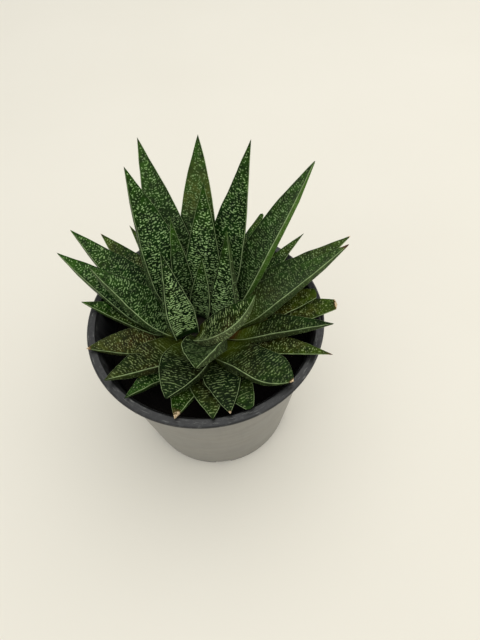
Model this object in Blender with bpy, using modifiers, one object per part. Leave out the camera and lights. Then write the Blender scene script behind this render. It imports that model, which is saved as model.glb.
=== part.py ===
"""Potted gasteria: a warty-leaved rosette in a round nursery pot.

Metres, +Z up. The origin is the middle of the pot's foot, on the surface that it stands on.
The rosette grows from a short stem a little to the left of the pot's middle.
"""
import math

import bmesh
import bpy
import numpy as np
from mathutils import Matrix
from mathutils.bvhtree import BVHTree

MM = 0.001
GAP = 0.3 * MM

# Pot
POT_HEIGHT = 106.8 * MM
RIM_RADIUS = 65 * MM
RIM_INNER_RADIUS = 60.5 * MM
RIM_THICKNESS = 2.0 * MM
RIM_ROUNDING = 1.2 * MM
WALL = 1.5 * MM
BODY_TOP_RADIUS = 60.9 * MM
FOOT_RADIUS = 48.7 * MM
FOOT_ROUNDING = 1.2 * MM
FLOOR_THICKNESS = 2.2 * MM
POT_STEPS = 60
DRAIN_COUNT = 6
DRAIN_RADIUS = 4.5 * MM
DRAIN_CIRCLE = 38 * MM
NOTCH_WIDTH = 10 * MM
NOTCH_HEIGHT = 1.5 * MM
FIRST_NOTCH = math.radians(-87)

# Stem and soil
PLANT_X = -3 * MM
STEM_FOOT = 62 * MM
STEM_SHOULDER = 91.5 * MM
STEM_TOP = 97.5 * MM
STEM_RADIUS = 12.5 * MM
STEM_STEPS = 20
SOIL_MIDDLE = 80 * MM
SOIL_EDGE = 84 * MM
SOIL_HOLE_FLOOR = STEM_FOOT - GAP
CRUMB_HEIGHT = 1.1 * MM
# Each wave of the crumbs: turns round the pot, and radians per metre outwards.
CRUMB_WAVES = ((3, 310), (7, -520), (11, 900))
SOIL_STEPS = 36
SOIL_RINGS = 7

# Leaves
FIRST_LEAF_HEIGHT = 97 * MM
LEAF_SPACING = 0.33 * MM
BASE_RADIUS = 10 * MM
BASE_GROWTH = 0.15 * MM
BASE_RADIUS_LIMIT = 12.5 * MM
ACROSS_ABOVE = (-0.72, -0.36, 0.0, 0.36, 0.72)
ACROSS_BELOW = (0.88, 0.3, -0.4)
STATIONS = (0.0, 0.15, 0.27, 0.38, 0.48, 0.58, 0.68, 0.78, 0.88, 0.96)
EDGE = 0.9 * MM
TIP_EDGE = 0.7 * MM
NARROWEST_HALF = 0.5 * MM
THICKNESS_RATIO = 0.21
CHANNEL_RATIO = 0.05
KEEL_PLACE = 0.88
KEEL_FALL = 0.8
ROLL_FROM = 0.1
ROLL_TO = 0.5
WART_RELIEF = 0.45 * MM
TOOTH = 0.18 * MM
LEAF_DETAIL = 60
GROW_MARGIN = 1.15

# Each leaf from the youngest out: azimuth, rise and length of its midline, width, and its own habits.
# Angles are degrees and lengths millimetres. turn swings the base round the stem, away from the azimuth.
# keel says which margin the keel lies at, and roll lifts that margin.
LEAVES = (
    dict(azimuth=-96, rise=41, length=41, width=24, turn=20, radius=12, base=0.9, curl=-26, roll=14),
    dict(azimuth=0, rise=46, length=49, width=21, turn=-76, radius=6.5, base=0.6, sway=65, peak=0.44,
         keel=-1, roll=13),
    dict(azimuth=111, rise=61, length=51, width=17, turn=102, radius=10, base=0.85, curl=-6, full=0.9),
    dict(azimuth=67, rise=76, length=43, width=14, turn=24, radius=5, base=0.75, full=1.2),
    dict(azimuth=74, rise=70, length=59, width=16, turn=-70, radius=12, full=0.9, keel=-1, roll=12),
    dict(azimuth=100, rise=64, length=59, width=12, turn=30, radius=11),
    dict(azimuth=79, rise=65, length=76, width=22, turn=5, radius=9.5),
    dict(azimuth=121, rise=58, length=89, width=26, turn=12, curl=-8),
    dict(azimuth=34, rise=52, length=102, width=19, turn=-23, curl=6, sway=-24, full=2.2, keel=-1, roll=9),
    dict(azimuth=157, rise=36, length=62, width=23, turn=25, curl=-10, roll=8),
    dict(azimuth=57, rise=60, length=99, width=26, turn=8, full=1.2),
    dict(azimuth=110, rise=56, length=100, width=27, turn=10),
    dict(azimuth=-106, rise=28, length=50, width=25, curl=-25, full=1.8, peak=0.4),
    dict(azimuth=81, rise=57, length=98, width=22, turn=23, full=2.1),
    dict(azimuth=12, rise=34, length=84, width=22, curl=-6, keel=-1, roll=8),
    dict(azimuth=-17, rise=25, length=66, width=20, turn=12, curl=-15, keel=-1, roll=12),
    dict(azimuth=155, rise=28, length=80, width=23, turn=20),
    dict(azimuth=145, rise=27, length=83, width=24, turn=8),
    dict(azimuth=18, rise=28, length=87, width=28, turn=10),
    dict(azimuth=-41, rise=21, length=58, width=23, turn=-12, curl=-42, sway=10, full=2.6, peak=0.7,
         keel=-1, roll=18),
    dict(azimuth=-81, rise=22, length=55, width=22, turn=25, curl=-25, full=1.8, peak=0.4),
    dict(azimuth=-140, rise=24, length=54, width=22, curl=-20, full=1.25, peak=0.45, roll=15),
    dict(azimuth=2, rise=25, length=58, width=20, turn=15, curl=-15, full=2.0, blunt=0.3),
    dict(azimuth=137, rise=24, length=73, width=24, curl=-10),
    dict(azimuth=-2, rise=22, length=67, width=23, curl=-20, full=1.6, blunt=0.25),
    dict(azimuth=38, rise=22, length=72, width=15, curl=-12),
    dict(azimuth=60, rise=22, length=71, width=15, curl=-12, blunt=0.15),
    dict(azimuth=124, rise=24, length=69, width=15, curl=-12),
    dict(azimuth=172, rise=25, length=59, width=17, curl=-20, full=1.6),
    dict(azimuth=-162, rise=24, length=55, width=19, curl=-25, full=1.8, peak=0.4),
    dict(azimuth=-84, rise=24, length=55, width=23, curl=-25, full=1.8, peak=0.4),
    dict(azimuth=-127, rise=25, length=54, width=18, curl=-20),
    dict(azimuth=-101, rise=25, length=55, width=21, curl=-25, full=1.8),
    dict(azimuth=-67, rise=25, length=56, width=24, curl=-25, full=1.8, peak=0.4, blunt=0.15),
    dict(azimuth=-26, rise=24, length=69, width=18, curl=-25),
    dict(azimuth=82, rise=26, length=60, width=17, curl=-12),
    dict(azimuth=103, rise=27, length=58, width=17, curl=-12),
)


def clear_scene():
    for thing in list(bpy.data.objects):
        bpy.data.objects.remove(thing, do_unlink=True)


def new_collection(name):
    collection = bpy.data.collections.new(name)
    bpy.context.scene.collection.children.link(collection)
    return collection


def material(name, colour, roughness):
    made = bpy.data.materials.new(name)
    made.use_nodes = True
    shader = made.node_tree.nodes["Principled BSDF"]
    shader.inputs["Base Color"].default_value = (*colour, 1)
    shader.inputs["Roughness"].default_value = roughness
    return made


def mesh_object(name, points, faces, collection, finish=None):
    mesh = bpy.data.meshes.new(name)
    mesh.from_pydata([tuple(float(c) for c in point) for point in points], [], faces)
    thing = bpy.data.objects.new(name, mesh)
    collection.objects.link(thing)
    if finish:
        mesh.materials.append(finish)
    return thing


def turned(name, profile, steps, collection, finish):
    """A closed profile of (radius, height) turned round the Z axis."""
    points = [(radius, 0, height) for radius, height in profile]
    edges = [(i, i + 1) for i in range(len(points) - 1)]
    mesh = bpy.data.meshes.new(name)
    mesh.from_pydata(points, edges, [])
    mesh.materials.append(finish)
    thing = bpy.data.objects.new(name, mesh)
    collection.objects.link(thing)
    screw = thing.modifiers.new("turn", "SCREW")
    screw.steps = steps
    screw.render_steps = steps
    screw.use_merge_vertices = True
    screw.merge_threshold = 0.00001
    return thing


def evaluated_mesh(thing):
    graph = bpy.context.evaluated_depsgraph_get()
    return bpy.data.meshes.new_from_object(thing.evaluated_get(graph), depsgraph=graph)


def cut(thing, cutter, solver):
    boolean = thing.modifiers.new("cut", "BOOLEAN")
    boolean.operation = "DIFFERENCE"
    boolean.solver = solver
    boolean.object = cutter
    return boolean


def move_to(thing, name, collection):
    thing.name = name
    for home in list(thing.users_collection):
        home.objects.unlink(thing)
    collection.objects.link(thing)


def as_cutter(thing):
    thing.hide_render = True
    thing.display_type = "WIRE"


def wall_radius(height):
    """Outer radius of the pot's plain cone."""
    return FOOT_RADIUS + (BODY_TOP_RADIUS - FOOT_RADIUS) * height / POT_HEIGHT


def make_pot(parts, cutters):
    finish = material("pot_plastic", (0.035, 0.036, 0.038), 0.42)
    under_rim = POT_HEIGHT - RIM_THICKNESS
    soft = 0.4 * MM
    profile = [
        (0, FLOOR_THICKNESS),
        (wall_radius(FLOOR_THICKNESS) - WALL, FLOOR_THICKNESS),
        (wall_radius(under_rim) - WALL, under_rim),
        (RIM_INNER_RADIUS, POT_HEIGHT - soft),
        (RIM_INNER_RADIUS + soft, POT_HEIGHT),
        (RIM_RADIUS - RIM_ROUNDING, POT_HEIGHT),
        (RIM_RADIUS - 0.3 * RIM_ROUNDING, POT_HEIGHT - 0.3 * RIM_ROUNDING),
        (RIM_RADIUS, POT_HEIGHT - RIM_ROUNDING),
        (RIM_RADIUS - soft / 2, under_rim),
        (wall_radius(under_rim), under_rim),
        (wall_radius(4 * FOOT_ROUNDING), 4 * FOOT_ROUNDING),
        (FOOT_RADIUS, FOOT_ROUNDING),
        (FOOT_RADIUS - FOOT_ROUNDING, 0),
        (0, 0),
    ]
    pot = turned("pot", profile, POT_STEPS, parts, finish)
    for number in range(DRAIN_COUNT):
        angle = FIRST_NOTCH + number * math.tau / DRAIN_COUNT
        bpy.ops.mesh.primitive_cylinder_add(
            vertices=16, radius=DRAIN_RADIUS, depth=6 * FLOOR_THICKNESS,
            location=(DRAIN_CIRCLE * math.cos(angle), DRAIN_CIRCLE * math.sin(angle), 0))
        hole = bpy.context.object
        bpy.ops.mesh.primitive_cube_add(size=1)
        notch = bpy.context.object
        notch.scale = (2 * (FOOT_RADIUS - DRAIN_CIRCLE), NOTCH_WIDTH, 2 * NOTCH_HEIGHT)
        notch.location = (FOOT_RADIUS * math.cos(angle), FOOT_RADIUS * math.sin(angle), 0)
        notch.rotation_euler = (0, 0, angle)
        for cutter, label in ((hole, "drain"), (notch, "notch")):
            move_to(cutter, f"{label}_cutter_{number}", cutters)
            as_cutter(cutter)
            cut(pot, cutter, "EXACT")
    return pot


def stem_profile(grow=0.0):
    """Radius and height down the stem's domed head and straight side."""
    rise = STEM_TOP - STEM_SHOULDER
    points = [(0, STEM_TOP + grow)]
    for step in range(1, 6):
        angle = step / 5 * math.pi / 2
        radius = (STEM_RADIUS + grow) * math.sin(angle)
        points.append((radius, STEM_SHOULDER + (rise + grow) * math.cos(angle)))
    points.append((STEM_RADIUS + grow, STEM_FOOT - grow))
    points.append((0, STEM_FOOT - grow))
    return points


def make_stem(parts, finish, name="stem", grow=0.0):
    stem = turned(name, stem_profile(grow), STEM_STEPS, parts, finish)
    stem.location.x = PLANT_X
    return stem


def soil_height(radius, angle):
    """Surface of the peat: higher at the wall, and crumbly."""
    level = SOIL_MIDDLE + (SOIL_EDGE - SOIL_MIDDLE) * (radius / RIM_INNER_RADIUS) ** 2
    waves = [math.sin(turns * angle + outward * radius) for turns, outward in CRUMB_WAVES]
    return level + CRUMB_HEIGHT * sum(waves) / len(waves)


def make_soil(parts, cutters):
    """Peat that fills the pot, with a plain hole for the stem."""
    finish = material("soil_peat", (0.028, 0.021, 0.016), 0.95)
    facet = math.cos(math.pi / POT_STEPS)
    low_radius = (wall_radius(FLOOR_THICKNESS) - WALL) * facet - GAP
    points = []
    faces = []

    def ring(radius, height_at):
        first = len(points)
        for step in range(SOIL_STEPS):
            angle = step * math.tau / SOIL_STEPS
            points.append((radius * math.cos(angle), radius * math.sin(angle), height_at(radius, angle)))
        return first

    def band(outer, inner):
        for step in range(SOIL_STEPS):
            following = (step + 1) % SOIL_STEPS
            faces.append((outer + step, outer + following, inner + following, inner + step))

    top_radius = (wall_radius(SOIL_EDGE) - WALL) * facet - GAP
    rings = [ring(low_radius, lambda radius, angle: FLOOR_THICKNESS + GAP)]
    for number in range(SOIL_RINGS):
        rings.append(ring(top_radius * (1 - number / SOIL_RINGS), soil_height))
    for outer, inner in zip(rings, rings[1:]):
        band(outer, inner)
    points.append((0, 0, SOIL_MIDDLE))
    last = rings[-1]
    for step in range(SOIL_STEPS):
        faces.append((last + step, last + (step + 1) % SOIL_STEPS, len(points) - 1))
    faces.append(tuple(range(SOIL_STEPS - 1, -1, -1)))
    soil = mesh_object("soil", points, faces, parts, finish)
    bpy.ops.mesh.primitive_cylinder_add(
        vertices=STEM_STEPS, radius=STEM_RADIUS + GAP / math.cos(math.pi / STEM_STEPS),
        depth=STEM_TOP - SOIL_HOLE_FLOOR, location=(PLANT_X, 0, (STEM_TOP + SOIL_HOLE_FLOOR) / 2))
    hole = bpy.context.object
    move_to(hole, "stem_hole_cutter", cutters)
    as_cutter(hole)
    cut(soil, hole, "EXACT")
    return soil


def midline(leaf, order, along):
    """Points, rises and headings of a leaf's midline at the given fractions of its length."""
    fine = np.linspace(0, 1, LEAF_DETAIL)
    rises = np.radians(leaf["rise"] + leaf.get("curl", 0) * (fine - 0.5))
    sway = leaf.get("sway", 0)
    headings = np.radians(leaf["azimuth"] + sway * (fine - 0.5))
    ways = np.stack([np.cos(rises) * np.cos(headings), np.cos(rises) * np.sin(headings), np.sin(rises)], -1)
    step = leaf["length"] * MM / (LEAF_DETAIL - 1)
    radius = min(BASE_RADIUS + BASE_GROWTH * order, BASE_RADIUS_LIMIT)
    radius = leaf.get("radius", radius / MM) * MM
    base_angle = math.radians(leaf["azimuth"] - sway / 2 + leaf.get("turn", 0))
    base = np.array([PLANT_X + radius * math.cos(base_angle), radius * math.sin(base_angle),
                     FIRST_LEAF_HEIGHT - LEAF_SPACING * order])
    walk = np.cumsum((ways[1:] + ways[:-1]) / 2 * step, axis=0)
    fine_points = np.concatenate([[base], base + walk])
    points = np.stack([np.interp(along, fine, fine_points[:, axis]) for axis in range(3)], -1)
    return points, np.interp(along, fine, rises), np.interp(along, fine, headings)


def half_widths(leaf, along):
    """Half of the blade's width: it swells from the base to its peak, then tapers to the tip."""
    base = leaf.get("base", 0.6)
    peak = leaf.get("peak", 0.3)
    blunt = leaf.get("blunt", 0.0)
    swell = base + (1 - base) * np.sin(np.pi / 2 * np.clip(along / peak, 0, 1))
    taper = 1 - np.clip((along - peak) / (1 - peak), 0, 1) ** leaf.get("full", 1.35)
    shape = np.where(along < peak, swell, taper * (1 - blunt) + blunt)
    return np.maximum(leaf["width"] / 2 * MM * shape, NARROWEST_HALF)


def leaf_section(half, edge, keel, channel, grow, side):
    """Closed outline across the blade: channelled above, with a keel below, close to one margin."""
    half += grow
    edge += 2 * grow
    keel += grow
    outline = [(-half, edge / 2)]
    outline += [(place * half, edge / 2 - channel * (1 - place * place)) for place in ACROSS_ABOVE]
    outline += [(half, edge / 2), (half, -edge / 2)]
    for place in sorted((place * side for place in ACROSS_BELOW), reverse=True):
        depth = keel * ((1 + place * side) / (1 + KEEL_PLACE)) ** KEEL_FALL
        outline.append((place * half, -edge / 2 - depth))
    outline.append((-half, -edge / 2))
    return np.array(outline)


def add_relief(outline, station, half):
    """Warts on every other point of both faces, and a tooth out or in at the margins."""
    count = len(outline)
    last_above = len(ACROSS_ABOVE)
    strength = min(1.0, half / (4 * MM))
    for number in range(count):
        above = 1 <= number <= last_above
        below = last_above + 3 <= number < count - 1
        if above and (station + number) % 2 == 0:
            outline[number, 1] += WART_RELIEF * strength
        elif below and (station + number) % 2 == 0:
            outline[number, 1] -= WART_RELIEF * strength
        elif not above and not below:
            way = 1 if station % 2 else -1
            outline[number, 0] += math.copysign(TOOTH * strength, outline[number, 0]) * way


def leaf_shape(leaf, order, grow=0.0):
    """Points and faces of one blade, lofted through its sections. grow swells it for cutting."""
    along = np.array(STATIONS)
    points, rises, headings = midline(leaf, order, np.append(along, 1.0))
    halves = half_widths(leaf, along)
    width = leaf["width"] * MM
    keels = THICKNESS_RATIO * width * np.interp(along, (0, 0.12, 0.35, 0.8, 1), (0.45, 0.7, 1.0, 0.55, 0.12))
    channels = CHANNEL_RATIO * width * np.interp(along, (0, 0.3, 0.8, 1), (0.3, 1, 0.8, 0))
    edges = np.interp(along, (0, 0.85, 1), (EDGE, EDGE, TIP_EDGE))
    side = leaf.get("keel", 1)
    rolls = side * math.radians(leaf.get("roll", 0)) * np.interp(along, (ROLL_FROM, ROLL_TO), (0, 1))
    rings = []
    for station in range(len(along)):
        outline = leaf_section(halves[station], edges[station], keels[station], channels[station],
                               grow * GROW_MARGIN, side)
        if 0 < station < len(along) - 1:
            add_relief(outline, station, halves[station])
        rings.append(placed(outline, points[station], rises[station], headings[station], rolls[station]))
    first_way = rings[1].mean(axis=0) - rings[0].mean(axis=0)
    rings[0] = rings[0] - grow * first_way / np.linalg.norm(first_way)
    last_way = points[-1] - points[-2]
    tip = points[-1] + grow * last_way / np.linalg.norm(last_way)
    return stitched(np.array(rings), tip)


def placed(outline, point, rise, heading, roll):
    """Places a section at its point, curved like a cone round the stem and rolled about the midline."""
    reach = max(math.hypot(point[0] - PLANT_X, point[1]), 3 * MM)
    radius = max(reach / max(math.sin(rise), 0.05), 4.5 * MM)
    angle = outline[:, 0] / radius
    across = (radius - outline[:, 1]) * np.sin(angle)
    over = radius - (radius - outline[:, 1]) * np.cos(angle)
    sideways = across * math.cos(roll) - over * math.sin(roll)
    upward = across * math.sin(roll) + over * math.cos(roll)
    side = np.array([-math.sin(heading), math.cos(heading), 0])
    way = np.array([math.cos(rise) * math.cos(heading), math.cos(rise) * math.sin(heading), math.sin(rise)])
    return point + sideways[:, None] * side + upward[:, None] * np.cross(way, side)


def stitched(rings, tip):
    """Triangles between the rings, split alike on both faces, with a flat base and a pointed tip."""
    stations, count = rings.shape[:2]
    faces = []
    for station in range(stations - 1):
        for number in range(count):
            following = (number + 1) % count
            near = station * count + number
            near_next = station * count + following
            far = near + count
            far_next = near_next + count
            if (station + number) % 2:
                faces += [(near, near_next, far_next), (near, far_next, far)]
            else:
                faces += [(near, near_next, far), (near_next, far_next, far)]
    last = (stations - 1) * count
    tip_number = stations * count
    faces += [(last + number, last + (number + 1) % count, tip_number) for number in range(count)]
    faces.append(tuple(range(count - 1, -1, -1)))
    points = np.concatenate([rings.reshape(-1, 3), [tip]])
    return points, faces


def faces_outward(thing):
    edit = bmesh.new()
    edit.from_mesh(thing.data)
    bmesh.ops.recalc_face_normals(edit, faces=edit.faces)
    if edit.calc_volume(signed=True) < 0:
        bmesh.ops.reverse_faces(edit, faces=edit.faces)
    edit.to_mesh(thing.data)
    edit.free()


def keep_largest_body(mesh):
    """Drops what a cut left loose."""
    edit = bmesh.new()
    edit.from_mesh(mesh)
    unseen = set(edit.verts)
    bodies = []
    while unseen:
        body = {unseen.pop()}
        front = list(body)
        while front:
            for edge in front.pop().link_edges:
                for vertex in edge.verts:
                    if vertex in unseen:
                        unseen.remove(vertex)
                        body.add(vertex)
                        front.append(vertex)
        bodies.append(body)
    bodies.sort(key=len)
    scraps = [vertex for body in bodies[:-1] for vertex in body]
    bmesh.ops.delete(edit, geom=scraps, context="VERTS")
    edit.to_mesh(mesh)
    edit.free()


def touches(thing, cutter):
    """Whether two untransformed meshes meet."""
    trees = []
    for mesh in (thing.data, cutter.data):
        points = [vertex.co for vertex in mesh.vertices]
        trees.append(BVHTree.FromPolygons(points, [tuple(face.vertices) for face in mesh.polygons]))
    return bool(trees[0].overlap(trees[1]))


def make_leaves(parts, cutters):
    """Every leaf, each trimmed to lie just clear of the stem and of the younger leaves."""
    young = (0.020, 0.075, 0.022)
    old = (0.045, 0.062, 0.025)
    stem_cutter = make_stem(cutters, None, "stem_cutter", GAP)
    stem_mesh = evaluated_mesh(stem_cutter)
    stem_mesh.transform(Matrix.Translation(stem_cutter.location))
    stem_cutter.modifiers.clear()
    stem_cutter.data = stem_mesh
    stem_cutter.location = (0, 0, 0)
    grown = [stem_cutter]
    for order, leaf in enumerate(LEAVES):
        share = order / (len(LEAVES) - 1)
        colour = [a + (b - a) * share for a, b in zip(young, old)]
        name = f"leaf_{order + 1:02d}"
        finish = material(f"{name}_skin", colour, 0.5)
        thing = mesh_object(name, *leaf_shape(leaf, order), parts, finish)
        faces_outward(thing)
        for cutter in grown:
            if not touches(thing, cutter):
                continue
            cut(thing, cutter, "MANIFOLD")
            mesh = evaluated_mesh(thing)
            thing.modifiers.clear()
            thing.data = mesh
            keep_largest_body(mesh)
        cutter = mesh_object(f"{name}_cutter", *leaf_shape(leaf, order, GAP), cutters)
        faces_outward(cutter)
        grown.append(cutter)
    for cutter in grown:
        bpy.data.objects.remove(cutter, do_unlink=True)


def main():
    clear_scene()
    parts = new_collection("potted_gasteria")
    cutters = new_collection("cutters")
    make_pot(parts, cutters)
    make_soil(parts, cutters)
    make_stem(parts, material("stem_skin", (0.16, 0.14, 0.05), 0.7))
    make_leaves(parts, cutters)


main()
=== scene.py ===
import math

import bmesh
import bpy
import numpy as np
from mathutils import Matrix, Vector
from mathutils.bvhtree import BVHTree


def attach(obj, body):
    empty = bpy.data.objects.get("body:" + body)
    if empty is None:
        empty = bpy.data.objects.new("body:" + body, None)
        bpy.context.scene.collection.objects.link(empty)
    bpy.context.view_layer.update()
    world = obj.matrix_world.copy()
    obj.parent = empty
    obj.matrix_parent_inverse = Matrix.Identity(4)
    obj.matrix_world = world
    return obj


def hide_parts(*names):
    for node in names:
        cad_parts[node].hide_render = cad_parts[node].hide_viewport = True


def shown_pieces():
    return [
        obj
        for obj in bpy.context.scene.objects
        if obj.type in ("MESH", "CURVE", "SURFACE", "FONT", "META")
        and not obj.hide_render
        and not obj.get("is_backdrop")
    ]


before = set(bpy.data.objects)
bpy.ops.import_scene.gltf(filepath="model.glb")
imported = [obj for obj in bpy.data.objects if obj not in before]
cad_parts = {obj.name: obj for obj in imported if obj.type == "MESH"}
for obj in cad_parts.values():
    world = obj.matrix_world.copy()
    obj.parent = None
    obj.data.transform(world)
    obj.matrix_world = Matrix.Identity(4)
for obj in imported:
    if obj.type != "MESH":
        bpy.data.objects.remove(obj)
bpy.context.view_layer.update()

MM = 0.001
GAP = 0.3 * MM

# Sizes of the pot, the stem, the peat and the leaves, as in the part's source
POT_HEIGHT = 106.8 * MM
RIM_RADIUS = 65 * MM
RIM_INNER_RADIUS = 60.5 * MM
RIM_THICKNESS = 2.0 * MM
RIM_ROUNDING = 1.2 * MM
WALL = 1.5 * MM
BODY_TOP_RADIUS = 60.9 * MM
FOOT_RADIUS = 48.7 * MM
FOOT_ROUNDING = 1.2 * MM
FLOOR_THICKNESS = 2.2 * MM
DRAIN_COUNT = 6
DRAIN_RADIUS = 4.5 * MM
DRAIN_CIRCLE = 38 * MM
NOTCH_WIDTH = 10 * MM
NOTCH_HEIGHT = 1.5 * MM
FIRST_NOTCH = math.radians(-87)
RECESS_DEPTH = 0.8 * MM
RECESS_HEIGHT = 4 * MM
RECESS_REACH = 6 * MM
POT_STEPS = 240
CAD_POT_STEPS = 60
OUT_OF_ROUND = 0.0012
SHARP_ANGLE = math.radians(50)

# Finer forms of the pot's section: roundings, and points inwards of the rim and below or above its edges
LIP_ROUNDING = 0.4 * MM
RIM_FILLET = 0.5 * MM
CROWN = ((1.5 * MM, 0), (2.7 * MM, 0.08 * MM))
RIM_UNDERSIDE = ((0.15 * MM, 0.1 * MM), (0.5 * MM, 0))
FLOOR_RINGS = (20 * MM, 34 * MM)
UNDERSIDE_RINGS = (40 * MM, 20 * MM)
INNER_WALL_RINGS = 12
OUTER_WALL_RINGS = 16

PLANT_X = -3 * MM
STEM_FOOT = 62 * MM
STEM_SHOULDER = 91.5 * MM
STEM_TOP = 97.5 * MM
STEM_RADIUS = 12.5 * MM
SOIL_MIDDLE = 80 * MM
SOIL_EDGE = 84 * MM
SOIL_STEPS = 260
SOIL_RINGS = 66
STEM_STEPS = 40
STEM_DOME_STEPS = 5

# Waves of the peat: size and height in millimetres, and seed
SOIL_WAVES = ((13, 0.9, 1), (6, 0.8, 2), (3, 0.6, 3), (1.5, 0.35, 4))
CLOD_SIZE = 4.2 * MM
CLOD_HEIGHT = 0.8 * MM

FIRST_LEAF_HEIGHT = 97 * MM
LEAF_SPACING = 0.33 * MM
BASE_RADIUS = 10 * MM
BASE_GROWTH = 0.15 * MM
BASE_RADIUS_LIMIT = 12.5 * MM
EDGE = 0.9 * MM
THICKNESS_RATIO = 0.21
CHANNEL_RATIO = 0.05
KEEL_PLACE = 0.88
KEEL_FALL = 0.8
ROLL_FROM = 0.1
ROLL_TO = 0.5
LEAF_DETAIL = 60

# Each leaf, from the heart of the rosette out: its midline's azimuth, rise and length, its width, its habits.
# Angles are degrees and lengths millimetres. turn swings the base round the stem, away from the azimuth.
# keel says which margin the keel lies at, and roll lifts that margin.
LEAVES = (
    dict(azimuth=-96, rise=41, length=41, width=24, turn=20, radius=12, base=0.9, curl=-26, roll=14),
    dict(azimuth=0, rise=46, length=49, width=21, turn=-76, radius=6.5, base=0.6, sway=65, peak=0.44,
         keel=-1, roll=13),
    dict(azimuth=111, rise=61, length=51, width=17, turn=102, radius=10, base=0.85, curl=-6, full=0.9),
    dict(azimuth=67, rise=76, length=43, width=14, turn=24, radius=5, base=0.75, full=1.2),
    dict(azimuth=74, rise=70, length=59, width=16, turn=-70, radius=12, full=0.9, keel=-1, roll=12),
    dict(azimuth=100, rise=64, length=59, width=12, turn=30, radius=11),
    dict(azimuth=79, rise=65, length=76, width=22, turn=5, radius=9.5),
    dict(azimuth=121, rise=58, length=89, width=26, turn=12, curl=-8),
    dict(azimuth=34, rise=52, length=102, width=19, turn=-23, curl=6, sway=-24, full=2.2, keel=-1, roll=9),
    dict(azimuth=157, rise=36, length=62, width=23, turn=25, curl=-10, roll=8),
    dict(azimuth=57, rise=60, length=99, width=26, turn=8, full=1.2),
    dict(azimuth=110, rise=56, length=100, width=27, turn=10),
    dict(azimuth=-106, rise=28, length=50, width=25, curl=-25, full=1.8, peak=0.4),
    dict(azimuth=81, rise=57, length=98, width=22, turn=23, full=2.1),
    dict(azimuth=12, rise=34, length=84, width=22, curl=-6, keel=-1, roll=8),
    dict(azimuth=-17, rise=25, length=66, width=20, turn=12, curl=-15, keel=-1, roll=12),
    dict(azimuth=155, rise=28, length=80, width=23, turn=20),
    dict(azimuth=145, rise=27, length=83, width=24, turn=8),
    dict(azimuth=18, rise=28, length=87, width=28, turn=10),
    dict(azimuth=-41, rise=21, length=58, width=23, turn=-12, curl=-42, sway=10, full=2.6, peak=0.7,
         keel=-1, roll=18),
    dict(azimuth=-81, rise=22, length=55, width=22, turn=25, curl=-25, full=1.8, peak=0.4),
    dict(azimuth=-140, rise=24, length=54, width=22, curl=-20, full=1.25, peak=0.45, roll=15),
    dict(azimuth=2, rise=25, length=58, width=20, turn=15, curl=-15, full=2.0, blunt=0.3),
    dict(azimuth=137, rise=24, length=73, width=24, curl=-10),
    dict(azimuth=-2, rise=22, length=67, width=23, curl=-20, full=1.6, blunt=0.25),
    dict(azimuth=38, rise=22, length=72, width=15, curl=-12),
    dict(azimuth=60, rise=22, length=71, width=15, curl=-12, blunt=0.15),
    dict(azimuth=124, rise=24, length=69, width=15, curl=-12),
    dict(azimuth=172, rise=25, length=59, width=17, curl=-20, full=1.6),
    dict(azimuth=-162, rise=24, length=55, width=19, curl=-25, full=1.8, peak=0.4),
    dict(azimuth=-84, rise=24, length=55, width=23, curl=-25, full=1.8, peak=0.4),
    dict(azimuth=-127, rise=25, length=54, width=18, curl=-20),
    dict(azimuth=-101, rise=25, length=55, width=21, curl=-25, full=1.8),
    dict(azimuth=-67, rise=25, length=56, width=24, curl=-25, full=1.8, peak=0.4, blunt=0.15),
    dict(azimuth=-26, rise=24, length=69, width=18, curl=-25),
    dict(azimuth=82, rise=26, length=60, width=17, curl=-12),
    dict(azimuth=103, rise=27, length=58, width=17, curl=-12),
)

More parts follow.
